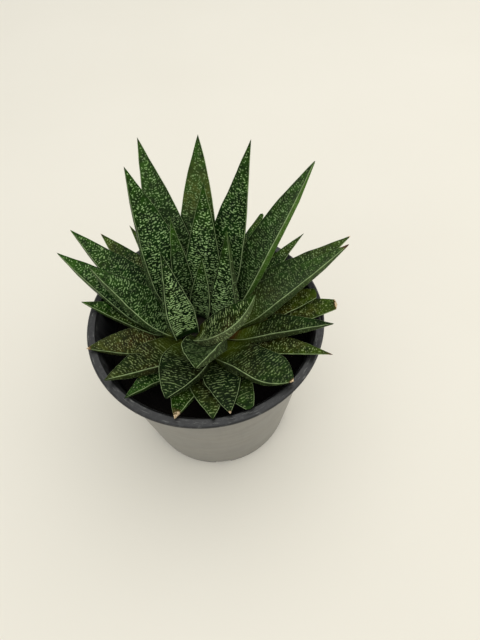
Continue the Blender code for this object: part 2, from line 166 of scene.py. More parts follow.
# How each leaf looks, by its number, where it differs from the plain look.
# ripple: how far warts run together near the base. rows: how far they form wavy lines. warts: their paleness.
# bare: the share of the length in which they come in. olive: from deep green 0 to brown-green 1. fresh:
# brighter towards the tip. bloom: a dull grey-green film. flank: a paler side face, grey or with green_flank
# green. edge: how clear the margins are. shade: painted shade over the faces, and heart: painted shade
# near the base.
# pale_base, green_base, red_base: its colour at the base. band: a paler band across. dry: millimetres of
# dried tip, tan or with dark_tip dark.
PLAIN_LOOK = dict(ripple=0.4, rows=0, warts=0.7, bare=0.12, olive=0.1, fresh=0.1, bloom=0, flank=0.12,
                  green_flank=False, edge=0.7, shade=0, heart=0.35, pale_base=0.6, green_base=0, red_base=0,
                  band=0, dry=0, dark_tip=False)
LOOKS = {
    1: dict(ripple=0.9, rows=0.75, warts=0.45, bloom=0.13, olive=0.3, flank=0.4, edge=0.8, shade=0.65,
            pale_base=0.1, heart=0.6),
    2: dict(ripple=1, rows=0.75, warts=1.15, olive=0.6, flank=0.45, edge=0.9, shade=0.35, pale_base=0.2,
            heart=0.2, bare=0.05),
    3: dict(ripple=1, warts=1.15, olive=0.2, edge=0.85, shade=0.5, pale_base=0, heart=0.3, bare=0.03),
    4: dict(ripple=1, warts=0.9, fresh=0.7, shade=0.6, heart=0.8, pale_base=0),
    5: dict(ripple=1, warts=1.1, fresh=0.6, flank=0.35, edge=0.5, shade=0.5, heart=0.6, pale_base=0),
    6: dict(ripple=0.6, warts=0.6, fresh=0.8, shade=0.35, heart=0.8, pale_base=0),
    7: dict(ripple=0.8, warts=1.05, fresh=0.3, edge=0.6, shade=0.3, heart=0.8, pale_base=0),
    8: dict(ripple=0.5, warts=0.9, olive=0.05, edge=0.6, shade=0.2, heart=0.6, pale_base=0),
    9: dict(warts=0.55, bloom=0.1, flank=0.5, green_flank=True, edge=0.9, heart=0.6, pale_base=0.1),
    10: dict(ripple=0.6, bloom=0.04, edge=0.9, shade=0.1),
    11: dict(ripple=0.5, warts=0.85, shade=0.2, heart=0.7, pale_base=0),
    12: dict(ripple=0.3, bloom=0.1, heart=0.7, pale_base=0),
    13: dict(ripple=1, rows=0.8, warts=0.44, olive=0.45, shade=0.8, edge=0.8, bare=0.35, green_base=0.35),
    14: dict(ripple=0.3, warts=0.6, olive=0.3, bloom=0.1, band=0.6, heart=0.7, pale_base=0),
    15: dict(rows=0.2, warts=0.55, olive=0.4, bloom=0.16, dry=3, dark_tip=True, edge=0.9, heart=0.3,
             green_base=0.4),
    16: dict(ripple=0.8, rows=0.6, warts=0.42, olive=0.5, red_base=0.8, flank=0.25, shade=0.55, edge=0.8,
             bare=0.3, green_base=0.9),
    17: dict(warts=0.8, edge=0.8),
    18: dict(warts=0.75, olive=0.2, edge=0.9),
    19: dict(warts=0.55, olive=0.35, bloom=0.14, dry=1.2, edge=0.8),
    20: dict(ripple=0.9, rows=0.7, warts=0.42, olive=0.5, dry=1, flank=0.2, shade=0.6, edge=0.8,
             bare=0.35, green_base=0.9),
    21: dict(ripple=1, rows=0.8, warts=0.44, olive=0.5, shade=0.8, dry=1, bare=0.35, green_base=0.4),
    22: dict(ripple=0.8, rows=0.8, warts=0.48, olive=0.8, shade=0.5, edge=0.8, bare=0.35, green_base=0.4),
    23: dict(rows=0.3, warts=0.6, olive=0.9),
    24: dict(ripple=0.3, warts=0.6, olive=0.7, dry=1),
    25: dict(rows=0.4, warts=0.65, olive=0.9, dry=1),
    26: dict(ripple=0.3, warts=0.6, olive=0.4),
    27: dict(ripple=0.3, warts=0.5, olive=0.6),
    28: dict(ripple=0.3, warts=0.4, olive=0.8),
    29: dict(olive=0.4),
    30: dict(ripple=0.6, rows=0.3, warts=0.65, olive=1, dry=1.5, shade=0.2),
    31: dict(ripple=1, rows=0.7, warts=0.5, olive=0.7, shade=0.5, edge=0.8),
    32: dict(ripple=0.7, rows=0.3, warts=0.85, olive=0.4, shade=0.2, edge=0.8),
    33: dict(ripple=0.7, rows=0.4, warts=0.8, olive=0.5, dry=3, shade=0.25, edge=0.8),
    34: dict(ripple=1, rows=0.7, warts=0.5, olive=0.6, shade=0.5),
    35: dict(rows=0.3, warts=0.75, olive=0.8, dry=1.8, dark_tip=True),
    36: dict(olive=0.5),
    37: dict(olive=0.5),
}

# The grid of a leaf: three rings to a row of warts, rows that lie closer on young leaves, and cells across
RINGS_PER_ROW = 3
ROW_YOUNG = 1.05 * MM
ROW_OLD = 1.4 * MM
YOUNG_LEAVES = 14
LEAST_YOUNG = 0.35
LAST_RING = 1.4 * MM
CELL_ABOVE = 0.42 * MM
CELL_FLANK = 0.5 * MM
CELL_BELOW = 0.8 * MM
COARSE_PITCH = 8 * MM
COARSE_COLUMNS = 4
# Past the first rings, columns join in pairs, then in fours, where the blade narrows to these shares.
JOIN_FROM = 0.3
JOIN_PAIRS = 0.5
JOIN_FOURS = 0.24
TINY = 1e-6

# Warts, in millimetres: spacing, how much closer they stand where they merge, half of their length and depth
WART_SPACING = 1.42
WART_CROWDING = 0.22
WART_LONG = (0.32, 0.6)
WART_DEEP = (0.2, 0.3)
# As shares: how far warts are off their places across and along, their lean, and how many places have one
OFF_ACROSS = 0.42
OFF_ALONG = 0.3
WART_LEAN = 0.45
WART_DENSITY = 0.94
# How fast merging ends along the leaf, how many warts are long at least, and how much longer those are
MERGE_FALL = 1.2
LONG_COUNT = 0.15
LONG_STRETCH = 1.6
# Lines of merged warts: how far they waver, how sharp they are, how much is left of them, and how broken
LINE_PITCH = 1.7 * MM
LINE_WAVER = 0.26
LINE_POWER = 4
LINE_COVER = 0.68
LINE_BREAKS = 1.1
LOST_TO_LINES = 0.75

# Relief of a blade, and the bare strips by its margins, keel and tip
WART_HEIGHT = 0.24 * MM
SWELL = 0.12 * MM
TOOTH = 0.1 * MM
MARGIN_INSET = 0.16 * MM
INSET_LIMIT = 0.3
MARGIN_WOBBLE = 0.25 * MM
MARGIN_BARE = 0.5 * MM
FLANK_FADE = 0.12 * MM
KEEL_FADE = 0.9 * MM
KEEL_BARE = 0.4
TIP_BARE = 0.8 * MM
TIP_FADE = 2 * MM
TIP_HALF = 0.2 * MM
TIP_ROOM = 0.6 * MM
# Rows bow towards the tip at the margins, and wave.
BOW = 0.09
ROW_WAVE = 0.36 * MM
WAVE_FADE = 5
# Depth of the keel and the channel, and thickness of the margins, at shares of the length
KEEL_ALONG = ((0, 0.12, 0.35, 0.8, 1), (0.45, 0.7, 1, 0.55, 0.04))
CHANNEL_ALONG = ((0, 0.3, 0.8, 1), (0.3, 1, 0.8, 0))
EDGE_ALONG = ((0, 0.8, 1), (1, 1, 0.45))
# Limits of how tightly a section curves round the stem
LEAST_REACH = 3 * MM
LEAST_SLOPE = 0.05
TIGHTEST_CURVE = 4.5 * MM
# How clear the pale line is on the upper edge of a margin, the margin itself and the keel
UPPER_LINE = 1.0
MARGIN_LINE = 0.6
KEEL_LINE = 0.95

# Lights: place, diameter, watts and colour
LIGHT_AIM = (0, 0, 0.1)
LIGHTS = {
    "key": ((0.3, 0.12, 1.2), 2.4, 12.5, (1.0, 0.98, 0.94)),
    "fill": ((-0.7, -0.8, 0.8), 0.9, 1.0, (0.97, 0.98, 1.0)),
}

# Camera, fitted to the photograph
CAMERA_PLACE = (0.01884, -0.14986, 0.32462)
CAMERA_RIGHT = (0.998606, -0.043916, -0.029295)
CAMERA_UP = (0.052790, 0.830733, 0.554162)
CAMERA_FORWARD = (0.0, 0.554936, -0.831893)
CAMERA_LENS = 27.03


def srgb(red, green, blue):
    """A colour given in the usual 0 to 255, as the shader's linear numbers."""
    def linear(value):
        share = value / 255
        return share / 12.92 if share <= 0.04045 else ((share + 0.055) / 1.055) ** 2.4
    return (linear(red), linear(green), linear(blue), 1.0)


def lattice(column, row, seed):
    """A fixed scattered value from -1 to 1 at each point of a grid."""
    mixed = np.sin(column * 127.1 + row * 311.7 + seed * 74.7) * 43758.5453
    return 2 * (mixed - np.floor(mixed)) - 1


def smooth_noise(x, y, seed):
    """Smooth noise from -1 to 1 with features about one unit apart."""
    column, row = np.floor(x), np.floor(y)
    across, along = x - column, y - row
    across = across * across * (3 - 2 * across)
    along = along * along * (3 - 2 * along)
    low = lattice(column, row, seed) * (1 - across) + lattice(column + 1, row, seed) * across
    high = lattice(column, row + 1, seed) * (1 - across) + lattice(column + 1, row + 1, seed) * across
    return low * (1 - along) + high * along


def look_of(number):
    """A leaf's whole look."""
    return {**PLAIN_LOOK, **LOOKS[number]}


# Leaf shapes

def midline(leaf, order, along):
    """Points, rises and headings of a leaf's midline at the given fractions of its length."""
    fine = np.linspace(0, 1, LEAF_DETAIL)
    rises = np.radians(leaf["rise"] + leaf.get("curl", 0) * (fine - 0.5))
    sway = leaf.get("sway", 0)
    headings = np.radians(leaf["azimuth"] + sway * (fine - 0.5))
    ways = np.stack([np.cos(rises) * np.cos(headings), np.cos(rises) * np.sin(headings), np.sin(rises)], -1)
    step = leaf["length"] * MM / (LEAF_DETAIL - 1)
    radius = min(BASE_RADIUS + BASE_GROWTH * order, BASE_RADIUS_LIMIT)
    radius = leaf.get("radius", radius / MM) * MM
    base_angle = math.radians(leaf["azimuth"] - sway / 2 + leaf.get("turn", 0))
    base = np.array([PLANT_X + radius * math.cos(base_angle), radius * math.sin(base_angle),
                     FIRST_LEAF_HEIGHT - LEAF_SPACING * order])
    walk = np.cumsum((ways[1:] + ways[:-1]) / 2 * step, axis=0)
    fine_points = np.concatenate([[base], base + walk])
    points = np.stack([np.interp(along, fine, fine_points[:, axis]) for axis in range(3)], -1)
    return points, np.interp(along, fine, rises), np.interp(along, fine, headings)


def half_widths(leaf, along):
    """Half of the blade's width: it swells from the base to its peak, then tapers to the tip."""
    base = leaf.get("base", 0.6)
    peak = leaf.get("peak", 0.3)
    blunt = leaf.get("blunt", 0)
    swell = base + (1 - base) * np.sin(np.pi / 2 * np.clip(along / peak, 0, 1))
    taper = 1 - np.clip((along - peak) / (1 - peak), 0, 1) ** leaf.get("full", 1.35)
    shape = np.where(along < peak, swell, taper * (1 - blunt) + blunt)
    return np.maximum(leaf["width"] / 2 * MM * shape, TIP_HALF)


def lower_depth(places, side):
    """The lower face's depth across the blade, as a share of the keel's."""
    near = places * side
    slope = np.clip((1 + near) / (1 + KEEL_PLACE), 0, 1) ** KEEL_FALL
    flank = np.clip((1 - near) / (1 - KEEL_PLACE), 0, 1)
    return np.where(near <= KEEL_PLACE, slope, flank)


def fours(size, cell):
    """A count of cells that is a multiple of four."""
    return 4 * max(1, round(size / cell / 4))


def columns(leaf, coarse):
    """Places across the blade round its whole outline, and the number of columns above."""
    width = leaf["width"] * MM
    side = leaf.get("keel", 1)
    above = np.linspace(-1, 1, fours(width, CELL_ABOVE * coarse) + 1)
    flank = fours(THICKNESS_RATIO * width, CELL_FLANK * coarse)
    rest = fours((1 + KEEL_PLACE) / 2 * width, CELL_BELOW * coarse)
    near = np.linspace(1, KEEL_PLACE, flank + 1)
    far = np.linspace(KEEL_PLACE, -1, rest + 1)
    below = np.concatenate([near, far[1:]])
    if side < 0:
        below = -below[::-1]
    return above, below


def ring_places(leaf, pitch_young, pitch_old, young):
    """Places of a leaf's rings along it. Rows of warts lie closer near the base of a young leaf."""
    length = leaf["length"] * MM
    places = [0.0]
    while places[-1] < length - LAST_RING:
        share = places[-1] / length
        pitch = pitch_old + (pitch_young - pitch_old) * young * (1 - share)
        places.append(places[-1] + pitch / RINGS_PER_ROW)
    return np.array(places)


def wart_field(rings_at, half_at, across, seed, ripple):
    """How much of a wart each point of a face is. Warts stand in loose rows and merge near the base."""
    amount = np.zeros(across.shape)
    draw = np.random.default_rng(seed)
    for ring in range(1, len(rings_at) - 1, RINGS_PER_ROW):
        half = half_at[ring]
        share = rings_at[ring] / rings_at[-1]
        merging = ripple * max(0.0, 1 - MERGE_FALL * share)
        spacing = (WART_SPACING - WART_CROWDING * merging) * MM
        count = max(1, int(2 * half / spacing))
        pitch = RINGS_PER_ROW * (rings_at[ring + 1] - rings_at[ring])
        x = (np.arange(count) + 0.5 + draw.uniform(-OFF_ACROSS, OFF_ACROSS, count)) * spacing
        x += draw.uniform(0, 1) * (2 * half - count * spacing) - half
        y = rings_at[ring] + draw.uniform(-OFF_ALONG, OFF_ALONG, count) * pitch * (1 - 0.4 * merging)
        long = draw.uniform(*WART_LONG, count) * MM * (1 + 0.6 * merging)
        long = np.where(draw.uniform(0, 1, count) < LONG_COUNT + 0.35 * merging, long * LONG_STRETCH, long)
        deep = draw.uniform(*WART_DEEP, count) * MM
        lean = draw.uniform(-WART_LEAN, WART_LEAN, count)
        strong = draw.uniform(0.45, 1.0, count) ** 0.7 * (draw.uniform(0, 1, count) < WART_DENSITY)
        rows = slice(max(0, ring - RINGS_PER_ROW), ring + RINGS_PER_ROW + 1)
        away_x = across[rows][:, :, None] - x
        away_y = rings_at[rows][:, None, None] - y - lean * away_x
        bumps = strong * np.exp(-np.abs(away_x / long) ** 3 - np.abs(away_y / deep) ** 2.2)
        amount[rows] = np.maximum(amount[rows], bumps.max(axis=2))
    return amount


def wavy_rows(rings_at, across, seed):
    """Broken, waving lines across a face, where warts have run together."""
    along = rings_at[:, None] + 0 * across
    shift = smooth_noise(across / (1.3 * MM), along / (3 * MM), seed + 120)
    shift += 0.5 * smooth_noise(across / (0.7 * MM), along / (2 * MM), seed + 140)
    ridge = (0.5 + 0.5 * np.cos(math.tau * (along / LINE_PITCH + LINE_WAVER * shift))) ** LINE_POWER
    breaks = smooth_noise(across / MM, along / (0.9 * MM), seed + 160)
    return ridge * np.clip(LINE_COVER + LINE_BREAKS * breaks, 0, 1)


def wart_amounts(leaf, number, rings_at, half_ring, place, is_above, is_below):
    """How much of a wart each point of a blade is, on both faces."""
    look = look_of(number)
    side = leaf.get("keel", 1)
    width = leaf["width"] * MM
    across = place * half_ring[:, None]
    amount = np.zeros(place.shape)
    warts = wart_field(rings_at, half_ring, across[:, is_above], 10 * number, look["ripple"])
    lines = wavy_rows(rings_at, across[:, is_above], number)
    amount[:, is_above] = np.maximum(warts * (1 - LOST_TO_LINES * look["rows"]), lines * look["rows"])
    # Below, the strip is measured along its own outline.
    below = place[0, is_below]
    widest = np.stack([below * width / 2, -THICKNESS_RATIO * width * lower_depth(below, side)], -1)
    strip = np.append(0, np.cumsum(np.linalg.norm(np.diff(widest, axis=0), axis=1)))
    strip = (strip - strip[-1] / 2) / (width / 2)
    amount[:, is_below] = wart_field(rings_at, half_ring * strip[-1], strip * half_ring[:, None],
                                     10 * number + 5, look["ripple"] * 0.5)
    # Warts fade out by the margins, the keel and the very tip.
    from_margin = (1 - np.abs(place)) * half_ring[:, None]
    from_keel = np.abs(place * side - KEEL_PLACE) * half_ring[:, None]
    reach = np.where(place * side > KEEL_PLACE, FLANK_FADE, KEEL_FADE)
    fade = np.where(is_above, np.clip((from_margin - MARGIN_BARE) / MARGIN_BARE, 0, 1), 1.0)
    fade = np.where(is_below, np.clip(from_keel / reach - KEEL_BARE, 0, 1), fade)
    tip_fade = np.clip((leaf["length"] * MM - rings_at - TIP_BARE) / TIP_FADE, 0, 1)
    return amount * (fade * tip_fade[:, None])


def leaf_grid(leaf, number, fine, grow=0.0):
    """Points, triangles and per-point values of one blade. A coarse one has no warts and is a cutter."""
    order = number - 1
    side = leaf.get("keel", 1)
    width = leaf["width"] * MM
    length = leaf["length"] * MM
    if fine:
        young = max(0.0, 1 - order / YOUNG_LEAVES)
        rings_at = ring_places(leaf, ROW_YOUNG, ROW_OLD, LEAST_YOUNG + (1 - LEAST_YOUNG) * young)
    else:
        rings_at = ring_places(leaf, COARSE_PITCH, COARSE_PITCH, 1.0)
    above, below = columns(leaf, 1 if fine else COARSE_COLUMNS)
    count_above = len(above)
    total = count_above + len(below) + 2
    rings = len(rings_at)
    share = rings_at / length
    half_ring = half_widths(leaf, share)

    place = np.repeat([np.concatenate([above, [1], below, [-1]])], rings, axis=0)
    column = np.arange(total)
    is_above = column < count_above
    is_margin = (column == count_above) | (column == total - 1)
    is_below = ~(is_above | is_margin)
    on_keel = is_below & (np.abs(place * side - KEEL_PLACE) < TINY)

    wave_fade = np.clip(share * WAVE_FADE, 0, 1) * np.clip((1 - share) * WAVE_FADE, 0, 1)
    offset = BOW * width * place ** 2 * wave_fade[:, None]
    amount = np.zeros((rings, total))
    if fine:
        across = place * half_ring[:, None]
        wave = smooth_noise(across / (3 * MM), rings_at[:, None] / (2.6 * MM), number)
        wave += 0.5 * smooth_noise(across / (1.5 * MM), rings_at[:, None] / (2 * MM), number + 20)
        offset += ROW_WAVE * wave * wave_fade[:, None]
        amount = wart_amounts(leaf, number, rings_at, half_ring, place, is_above, is_below)

    along = np.clip((rings_at[:, None] + offset) / length, 0, 1 - TIP_ROOM / length)
    flat = along.ravel()
    points, rises, headings = midline(leaf, order, flat)
    half = half_widths(leaf, flat).reshape(rings, total) + grow
    keel = THICKNESS_RATIO * width * np.interp(along, *KEEL_ALONG) + grow
    channel = CHANNEL_RATIO * width * np.interp(along, *CHANNEL_ALONG)
    edge = EDGE * np.interp(along, *EDGE_ALONG) + 2 * grow

    inset = np.minimum(MARGIN_INSET, half * INSET_LIMIT)
    sideways = place * np.where(is_margin, half, half - inset * (np.abs(place) >= 1))
    upper = edge / 2 - channel * (1 - place ** 2)
    under = -edge / 2 - keel * lower_depth(place, side)
    height = np.where(is_above, upper, np.where(is_below, under, 0.0))
    if fine:
        swell = SWELL * smooth_noise(across / (7 * MM), rings_at[:, None] / (9 * MM), number + 50)
        swell *= np.clip((1 - np.abs(place)) * half_ring[:, None] / (3 * MM), 0, 1)
        relief = WART_HEIGHT * amount + swell
        height += np.where(is_above, relief, 0)
        height -= np.where(is_below, relief, 0)
        draw = np.random.default_rng(700 + number)
        teeth = draw.uniform(0.2, 1.0, (rings, total)) * (np.arange(rings) % RINGS_PER_ROW == 1)[:, None]
        teeth *= TOOTH * np.clip((half - 0.6 * MM) / MM, 0, 1)
        sideways += np.where(is_margin, np.sign(place) * teeth, 0)
        height -= np.where(on_keel, teeth, 0)
        wobble = MARGIN_WOBBLE * smooth_noise(along / 0.09, np.sign(place) * 3 + 0 * along, number + 90)
        sideways += wobble * place ** 4 * np.clip((half - MM) / (2 * MM), 0, 1)

    rolls = side * math.radians(leaf.get("roll", 0)) * np.interp(flat, (ROLL_FROM, ROLL_TO), (0, 1))
    placed = place_points(sideways.ravel(), height.ravel(), points, rises, headings, rolls)
    placed = placed.reshape(rings, total, 3)
    if grow:
        way = placed[1].mean(axis=0) - placed[0].mean(axis=0)
        placed[0] -= grow * way / np.linalg.norm(way)
    before, tip = midline(leaf, order, np.array([0.97, 1.0]))[0]
    last_way = tip - before
    tip = tip + grow * last_way / np.linalg.norm(last_way)
    everything = np.concatenate([placed.reshape(-1, 3), [tip], [placed[0].mean(axis=0)]])
    triangles = leaf_triangles(half_ring, is_above, is_margin, fine)

    at_edge = np.abs(place) >= 1
    line = np.where(is_margin | at_edge, MARGIN_LINE, 0.0)
    line = np.where(is_above & at_edge, UPPER_LINE, line)
    line = np.where(on_keel, KEEL_LINE, line)
    flank = is_below & (place * side > KEEL_PLACE - TINY)
    grids = dict(wart=amount, line=line, along=along, under=is_below + 0 * place, flank=flank * 1.0)
    used = np.unique(triangles)
    renumber = np.zeros(len(everything), int)
    renumber[used] = np.arange(len(used))
    # The tip and the middle of the base come last.
    values = {key: np.append(grid, (key == "along", 0))[used] for key, grid in grids.items()}
    return everything[used], renumber[triangles], values


def leaf_triangles(half_ring, is_above, is_margin, fine):
    """Triangles between a blade's rings and at its ends. Columns of a fine one join where it is narrow."""
    rings, total = len(half_ring), len(is_above)
    column = np.arange(total)
    stride = np.ones(rings, int)
    if fine:
        widest = half_ring.max()
        stride = np.where(half_ring < JOIN_FOURS * widest, 4, np.where(half_ring < JOIN_PAIRS * widest, 2, 1))
        stride[:int(JOIN_FROM * rings)] = 1
    stride = stride[:, None]
    start = np.where(is_above, 0, is_above.sum() + 1)
    kept = np.where(is_margin, column, start + (column - start) // stride * stride)
    index = np.arange(rings)[:, None] * total + kept
    near, near_next, far, far_next = ring_corners(index)
    flip = (np.arange(rings - 1)[:, None] + column) % 2 == 0
    one = triples(near, near_next, np.where(flip, far_next, far))
    two = triples(np.where(flip, near, near_next), far_next, far)
    ends = [fan(index[-1], rings * total), fan(index[0], rings * total + 1, True)]
    triangles = np.concatenate([one, two, *ends])
    first, second, third = triangles.T
    return triangles[(first != second) & (second != third) & (third != first)]


def place_points(sideways, height, points, rises, headings, rolls):
    """Places points of a section, curved like a cone round the stem and rolled about the midline."""
    reach = np.maximum(np.hypot(points[:, 0] - PLANT_X, points[:, 1]), LEAST_REACH)
    radius = np.maximum(reach / np.maximum(np.sin(rises), LEAST_SLOPE), TIGHTEST_CURVE)
    angle = sideways / radius
    across = (radius - height) * np.sin(angle)
    over = radius - (radius - height) * np.cos(angle)
    level = across * np.cos(rolls) - over * np.sin(rolls)
    upward = across * np.sin(rolls) + over * np.cos(rolls)
    side = np.stack([-np.sin(headings), np.cos(headings), np.zeros_like(headings)], -1)
    way = np.stack([np.cos(rises) * np.cos(headings), np.cos(rises) * np.sin(headings), np.sin(rises)], -1)
    return points + level[:, None] * side + upward[:, None] * np.cross(way, side)


# Mesh helpers

def ring_corners(index):
    """The corners of each cell between neighbouring rings of point numbers."""
    near, far = index[:-1], index[1:]
    return near, np.roll(near, -1, axis=1), far, np.roll(far, -1, axis=1)


def triples(*corners):
    """Triangles from the arrays of their corners."""
    return np.stack(corners, -1).reshape(-1, 3)


def fan(ring, centre, turned=False):
    """Triangles from a ring of point numbers to one in its middle."""
    after = np.roll(ring, -1)
    return triples(after if turned else ring, ring if turned else after, np.full(len(ring), centre))


def mesh_from_arrays(name, points, triangles, values=None):
    mesh = bpy.data.meshes.new(name)
    mesh.vertices.add(len(points))
    mesh.vertices.foreach_set("co", np.asarray(points, np.float32).ravel())
    mesh.loops.add(triangles.size)
    mesh.loops.foreach_set("vertex_index", np.asarray(triangles, np.int32).ravel())
    mesh.polygons.add(len(triangles))
    mesh.polygons.foreach_set("loop_start", np.arange(0, triangles.size, 3, dtype=np.int32))
    mesh.update(calc_edges=True)
    for key, value in (values or {}).items():
        attribute = mesh.attributes.new(key, "FLOAT", "POINT")
        attribute.data.foreach_set("value", np.asarray(value, np.float32))
    return mesh


def new_object(name, mesh):
    thing = bpy.data.objects.new(name, mesh)
    bpy.context.scene.collection.objects.link(thing)
    return thing


def outward(mesh):
    edit = bmesh.new()
    edit.from_mesh(mesh)
    bmesh.ops.recalc_face_normals(edit, faces=edit.faces)
    if edit.calc_volume(signed=True) < 0:
        bmesh.ops.reverse_faces(edit, faces=edit.faces)
    edit.to_mesh(mesh)
    edit.free()


def solid(name, *arrays):
    """An object from points, triangles and values, with its faces outwards."""
    mesh = mesh_from_arrays(name, *arrays)
    outward(mesh)
    return new_object(name, mesh)


def evaluated_mesh(thing):
    graph = bpy.context.evaluated_depsgraph_get()
    return bpy.data.meshes.new_from_object(thing.evaluated_get(graph), depsgraph=graph)


def cut_with(thing, cutters):
    """Takes the cutters out of a mesh, all in one evaluation."""
    for cutter in cutters:
        boolean = thing.modifiers.new("cut", "BOOLEAN")
        boolean.operation = "DIFFERENCE"
        boolean.solver = "MANIFOLD"
        boolean.object = cutter
    if cutters:
        mesh = evaluated_mesh(thing)
        thing.modifiers.clear()
        thing.data = mesh


def largest_body(mesh):
    """Drops what a cut left loose."""
    count = len(mesh.vertices)
    edges = np.zeros(len(mesh.edges) * 2, np.int32)
    mesh.edges.foreach_get("vertices", edges)
    one, two = edges.reshape(-1, 2).T
    label = np.arange(count)
    while True:
        low = np.minimum(label[one], label[two])
        after = label.copy()
        np.minimum.at(after, one, low)
        np.minimum.at(after, two, low)
        after = after[after]
        if (after == label).all():
            break
        label = after
    names, sizes = np.unique(label, return_counts=True)
    if len(names) == 1:
        return
    keep = names[sizes.argmax()]
    edit = bmesh.new()
    edit.from_mesh(mesh)
    edit.verts.ensure_lookup_table()
    loose = [edit.verts[int(i)] for i in np.nonzero(label != keep)[0]]
    bmesh.ops.delete(edit, geom=loose, context="VERTS")
    edit.to_mesh(mesh)
    edit.free()


def tree_of(mesh):
    points = np.zeros(len(mesh.vertices) * 3, np.float32)
    mesh.vertices.foreach_get("co", points)
    return BVHTree.FromPolygons([tuple(p) for p in points.reshape(-1, 3).tolist()],
                                [tuple(face.vertices) for face in mesh.polygons])


def remove_all(things):
    for thing in things:
        bpy.data.objects.remove(thing, do_unlink=True)


# Materials

class Maker:
    """Adds nodes to a new material, links them, and keeps the colour painted so far."""

    def __init__(self, name):
        self.material = bpy.data.materials.new(name)
        self.material.use_nodes = True
        self.tree = self.material.node_tree
        self.shader = self.tree.nodes["Principled BSDF"]
        self.colour = None

    def add(self, kind, settings=None, **inputs):
        made = self.tree.nodes.new(kind)
        for key, value in (settings or {}).items():
            setattr(made, key, value)
        for key, value in inputs.items():
            self.feed(made.inputs[key.replace("_", " ")], value)
        return made

    def feed(self, socket, value):
        if isinstance(value, bpy.types.NodeSocket):
            self.tree.links.new(value, socket)
        else:
            socket.default_value = value

    def attributes(self, *names):
        return [self.add("ShaderNodeAttribute", {"attribute_name": name}).outputs["Fac"] for name in names]

    def place(self):
        return self.add("ShaderNodeTexCoord").outputs["Object"]

    def scaled(self, x, y, z):
        """Places scaled along the axes, which stretch a noise."""
        return self.add("ShaderNodeMapping", Vector=self.place(), Scale=(x, y, z)).outputs[0]

    def noise(self, scale, detail, rough, where=None, seed=0):
        """Noise with about scale features to the metre."""
        made = self.add("ShaderNodeTexNoise", {"noise_dimensions": "4D"}, Scale=scale, Detail=detail,
                        Roughness=rough, W=seed, Vector=where or self.place())
        return made.outputs["Fac"]

    def ramp(self, value, low, high, out_low=0, out_high=1):
        """A smooth step from one number to another, as the value goes from low to high."""
        made = self.add("ShaderNodeMapRange", {"interpolation_type": "SMOOTHSTEP"}, Value=value, From_Min=low,
                        From_Max=high, To_Min=out_low, To_Max=out_high)
        return made.outputs["Result"]

    def math(self, kind, one, two=0):
        made = self.add("ShaderNodeMath", {"operation": kind})
        self.feed(made.inputs[0], one)
        self.feed(made.inputs[1], two)
        return made.outputs[0]

    def times(self, product, *others):
        for other in others:
            product = self.math("MULTIPLY", product, other)
        return product

    def mix(self, share, one, two):
        made = self.add("ShaderNodeMix", {"data_type": "RGBA"})
        self.feed(made.inputs[0], share)
        self.feed(made.inputs[6], one)
        self.feed(made.inputs[7], two)
        return made.outputs[2]

    def paint(self, share, *tone):
        """Lays a colour, given in 0 to 255, over the colour so far."""
        if isinstance(share, bpy.types.NodeSocket) or share:
            self.colour = self.mix(share, self.colour, srgb(*tone))

    def bump(self, height, distance, strength):
        made = self.add("ShaderNodeBump", Strength=strength, Distance=distance, Height=height)
        return made.outputs["Normal"]

    def finish(self, roughness, normal=None, specular=0.5):
        self.feed(self.shader.inputs["Base Color"], self.colour)
        self.feed(self.shader.inputs["Roughness"], roughness)
        if normal:
            self.feed(self.shader.inputs["Normal"], normal)
        self.shader.inputs["Specular IOR Level"].default_value = specular
        return self.material


